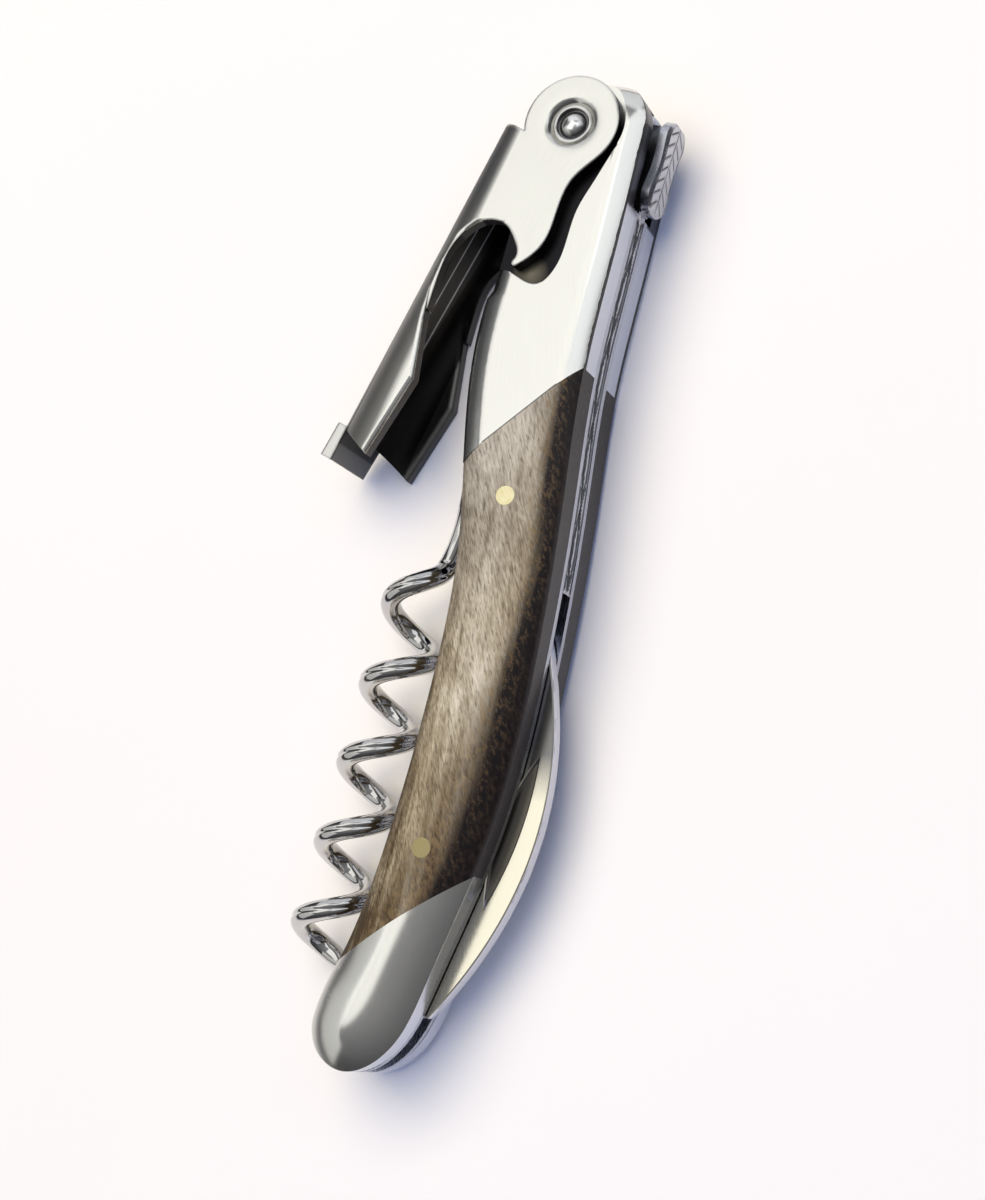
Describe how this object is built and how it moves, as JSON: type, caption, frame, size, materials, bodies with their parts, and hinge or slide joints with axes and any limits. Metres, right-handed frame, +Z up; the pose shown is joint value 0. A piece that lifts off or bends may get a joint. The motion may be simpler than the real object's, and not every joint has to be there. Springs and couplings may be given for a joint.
{
  "type": "lever corkscrew",
  "caption": "Folding lever corkscrew: slim curved handle with wooden scales and steel bolsters, hinged trough lever with notched lips, swinging helical worm and folding foil blade.",
  "frame": {"origin": "centre of the assembly's box, at the level of the surface it lies on", "axes": "+X from the tail to the head along the handle, +Y towards the worm's side, +Z up through the handle's thickness"},
  "size_m": [0.1204, 0.0406, 0.014],
  "materials": {
    "liner_steel": "satin",
    "bolster_steel": "polished",
    "scale_wood": "polished",
    "pin_brass": "polished",
    "pin_steel": "polished",
    "spring_steel": "satin",
    "lever_steel": "polished",
    "worm_steel": "polished",
    "blade_steel": "satin"
  },
  "bodies": {
    "handle": {"liner_near": "liner_steel", "liner_far": "liner_steel", "head_bolster_near": "bolster_steel", "head_bolster_far": "bolster_steel", "tail_bolster_near": "bolster_steel", "tail_bolster_far": "bolster_steel", "scale_near": "scale_wood", "scale_far": "scale_wood", "scale_pins_near": "pin_brass", "scale_pins_far": "pin_brass", "head_pins_near": "pin_steel", "head_pins_far": "pin_steel", "tail_pins_near": "pin_steel", "tail_pins_far": "pin_steel", "back_spring": "spring_steel", "spring_cap": "spring_steel", "spring_pins": "pin_steel", "blade_spring": "spring_steel", "blade_spring_pins": "pin_steel", "worm_pin": "pin_steel", "blade_pin": "pin_steel"},
    "lever": {"lever": "lever_steel", "lever_pin": "pin_steel", "lever_washers": "pin_steel", "lever_cam": "spring_steel"},
    "worm": {"worm": "worm_steel"},
    "blade": {"blade": "blade_steel"}
  },
  "joints": [
    {"name": "lever_swing", "type": "hinge", "parent": "handle", "child": "lever", "pos_m": [0.054, 0.00026, 0.007], "axis": [0, 0, -1], "range_deg": [0, 125]},
    {"name": "worm_swing", "type": "hinge", "parent": "handle", "child": "worm", "pos_m": [0.0223, -0.00134, 0.007], "axis": [0, 0, -1], "range_deg": [0, 90]},
    {"name": "blade_swing", "type": "hinge", "parent": "handle", "child": "blade", "pos_m": [-0.0534, -0.00764, 0.007], "axis": [0, 0, -1], "range_deg": [0, 180]}
  ],
  "couplings": [
    {"joint": "worm_swing", "follows": "lever_swing", "ratio": 0.716}
  ]
}
